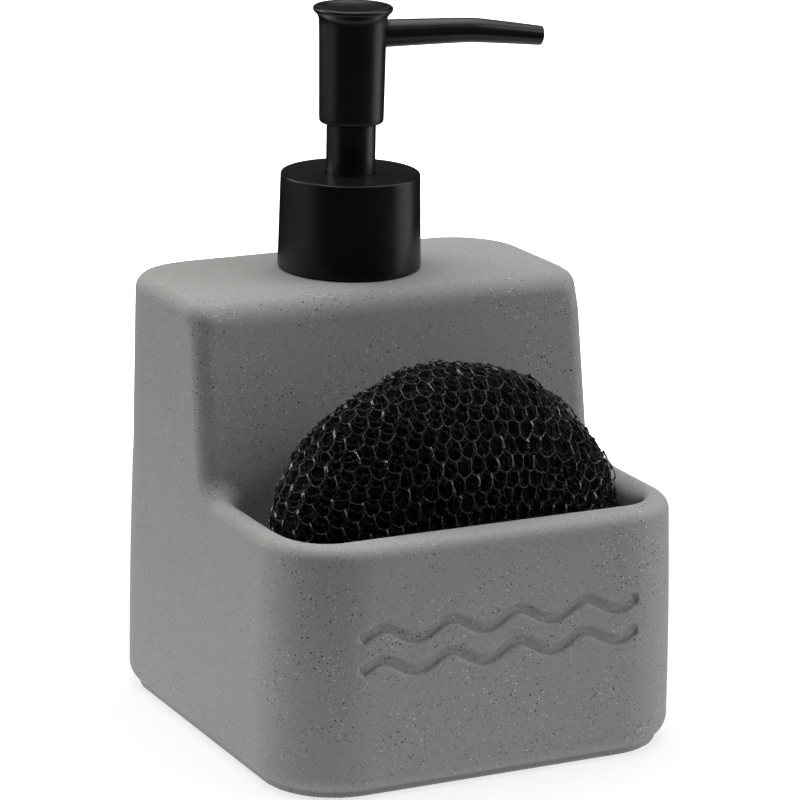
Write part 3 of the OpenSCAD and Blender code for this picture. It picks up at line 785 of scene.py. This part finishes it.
def core():
    """The bunched middle of net, seen only as dark folds through the net: coloured far darker than the filament, as
    painted shade for the depths of the pad.
    """
    n_a, n_b = 340, 170
    phi = 2 * math.pi * np.arange(n_a) / n_a
    arc, *_ = pad_curve(CORE)
    rho = np.linspace(0, arc[-1], n_b + 1)[1:-1]
    rr, ph = np.meshgrid(rho, phi, indexing="ij")
    uv = np.c_[(rr * np.cos(ph)).ravel(), (rr * np.sin(ph)).ravel()]
    p, n = on_pad(uv, -1, CORE)
    ends, en = on_pad(np.array([[0.0, 0.0], [arc[-1], 0.0]]), -1, CORE)
    p, n = np.vstack([p, ends]), np.vstack([n, en])
    arc_at = np.append(rr.ravel(), [0.0, 0.0])
    step_at = 0.0
    around_at = np.append((ph * 42.0).ravel(), [0.0, 0.0])
    ring = np.cos(2 * math.pi * (arc_at - 0.5 * step_at) / 3.9) * np.cos(2 * math.pi * around_at / 3.4)
    folds = 0.16 * waves(p, 7, 15, 71) + 0.14 * waves(p, 3.5, 15, 72) + 0.24 * ring + puff(p, 0.45)
    p = settle(to_tray(p + n * folds[:, None]), 1.2)
    m = len(rho)
    i, j = np.meshgrid(np.arange(m - 1), np.arange(n_a), indexing="ij")
    j2 = (j + 1) % n_a
    quads = np.stack([i * n_a + j, i * n_a + j2, (i + 1) * n_a + j2, (i + 1) * n_a + j], -1).reshape(-1, 4)
    k = np.arange(n_a)
    k2 = (k + 1) % n_a
    tris = np.vstack([np.stack([np.full(n_a, m * n_a), k2, k], -1),
                      np.stack([np.full(n_a, m * n_a + 1), (m - 1) * n_a + k, (m - 1) * n_a + k2], -1)])
    return make_piece("scourer_core", p, [quads[:, ::-1], tris[:, ::-1]], None, NET_CORE_SHADE)


half_arc = float(np.interp(math.pi / 2, np.linspace(0, math.pi, 1601), pad_curve(0.0)[0]))
scourer = []
for side, tag, over in ((-1, "front", 9.0), (1, "back", -6.0)):
    scourer.append(net("scourer_net_" + tag, side, 0.0, 3.95, 2.95, 0.0, 0.0, 100 + side, 0.19, 0.25, 0.17, 4, 6, NET, half_arc + over))
    scourer.append(net("scourer_second_" + tag, side, 0.45, 3.7, 3.0, 0.05, 1.1, 200 + side, 0.24, 0.20, 0.15, 3, 5, NET_IN_SHADED, half_arc - 0.6 + over))
    scourer.append(net("scourer_third_" + tag, side, 0.80, 3.5, 3.1, -0.12, 0.4, 300 + side, 0.32, 0.22, 0.18, 3, 4, NET_IN_SHADED, half_arc - 1.1 + over))
scourer.append(core())
for ob in scourer:
    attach(ob, "scourer")
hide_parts("mesh_scourer")

# --------------------------------------------------------------------------
# floor and light
# --------------------------------------------------------------------------
FLOOR_R = 230.0


def floor():
    m, nt, b = new_material("floor_pale")
    co = coords_of(nt)
    n1 = noise(nt, 3, 3, 0.5, 1.0, co).outputs[0]
    nt.links.new(ramp(nt, n1, [(0.3, (0.295, 0.295, 0.295)), (0.7, (0.305, 0.305, 0.305))]), b.inputs["Base Color"])
    # a lit table: it glows by itself, which keeps the shadow at the foot light
    nt.links.new(ramp(nt, n1, [(0.3, (0.99, 0.99, 0.99)), (0.7, (1.0, 1.0, 1.0))]), b.inputs["Emission Color"])
    b.inputs["Emission Strength"].default_value = 0.70
    b.inputs["Roughness"].default_value = 0.9
    b.inputs["Specular IOR Level"].default_value = 0.1
    n = 96
    a = 2 * math.pi * np.arange(n) / n
    k = np.arange(n)
    k2 = (k + 1) % n
    pts = np.vstack([[[0, 0, 0]], np.c_[FLOOR_R * np.cos(a), FLOOR_R * np.sin(a), np.zeros(n)]])
    near = make_piece("floor_near", pts, [np.stack([np.zeros(n, int), 1 + k, 1 + k2], -1)], None, m)
    rings = [FLOOR_R, 800.0, 2000.0, 6000.0]
    pts = np.vstack([np.c_[r * np.cos(a), r * np.sin(a), np.zeros(n)] for r in rings])
    quads = np.vstack([np.stack([i * n + k, (i + 1) * n + k, (i + 1) * n + k2, i * n + k2], -1) for i in range(len(rings) - 1)])
    m2, nt2, b2 = new_material("floor_pale_far")
    tone2 = ramp(nt2, noise(nt2, 3, 3, 0.5, 1.0, coords_of(nt2)).outputs[0], [(0.3, (0.90, 0.90, 0.90)), (0.7, (0.92, 0.92, 0.92))])
    nt2.links.new(tone2, b2.inputs["Base Color"])
    nt2.links.new(tone2, b2.inputs["Emission Color"])
    b2.inputs["Emission Strength"].default_value = 1.15
    b2.inputs["Roughness"].default_value = 0.9
    b2.inputs["Specular IOR Level"].default_value = 0.1
    far = make_piece("floor_far", pts, [quads], None, m2)
    # the studio round the small table is dark: the far floor is only a backdrop
    far.visible_diffuse = far.visible_glossy = far.visible_shadow = False


def lamp(name, place, target, size, power, colour=(1, 1, 1)):
    li = bpy.data.lights.new(name, "AREA")
    li.shape = "RECTANGLE"
    li.size, li.size_y = size
    li.energy = power
    li.color = colour
    ob = bpy.data.objects.new(name, li)
    d = Vector(target) - Vector(place)
    ob.rotation_euler = d.to_track_quat("-Z", "Y").to_euler()
    ob.location = place
    bpy.context.scene.collection.objects.link(ob)
    return ob


def world():
    w = bpy.data.worlds.new("studio")
    bpy.context.scene.world = w
    w.use_nodes = True
    nt = w.node_tree
    nt.nodes.clear()
    out = nt.nodes.new("ShaderNodeOutputWorld")
    bg = nt.nodes.new("ShaderNodeBackground")
    co = nt.nodes.new("ShaderNodeTexCoord").outputs["Generated"]
    sep = nt.nodes.new("ShaderNodeSeparateXYZ")
    nt.links.new(co, sep.inputs[0])
    nt.links.new(ramp(nt, sep.outputs[2], [(0.0, (0.0, 0.0, 0.0)), (0.002, (0.57, 0.57, 0.58)), (0.03, (0.57, 0.57, 0.58)), (0.10, (0.0, 0.0, 0.0)), (1.0, (0.0, 0.0, 0.0))]), bg.inputs[0])
    bg.inputs[1].default_value = 1.0
    nt.links.new(bg.outputs[0], out.inputs[0])


floor()
world()
lamp("top_softbox", (0.0, 0.25, 1.25), (0, 0.05, 0.05), (1.5, 1.3), 23.2, (1.0, 0.98, 0.955))
lamp("left_softbox", (-0.85, 0.85, 0.5), (0, 0, 0.06), (0.6, 0.9), 8.6, (0.985, 1.0, 0.98))
lamp("left_fill", (-1.1, 0.25, 0.15), (0, 0, 0.08), (0.6, 0.8), 1.2, (0.985, 1.0, 0.98))
lamp("right_softbox", (1.08, -0.28, 0.12), (0, 0, 0.10), (0.7, 0.9), 3.7, (1.0, 1.0, 1.0))
lamp("right_fill", (1.0, -0.4, 0.75), (0, 0, 0.08), (0.5, 0.5), 5.6, (1.0, 1.0, 1.0))
lamp("small_key", (0.52, -0.60, 0.90), (0, -0.02, 0.07), (0.12, 0.12), 1.3, (1.0, 1.0, 1.0))
bpy.context.scene.view_settings.view_transform = "Standard"
bpy.context.scene.view_settings.look = "None"

bpy.context.view_layer.update()
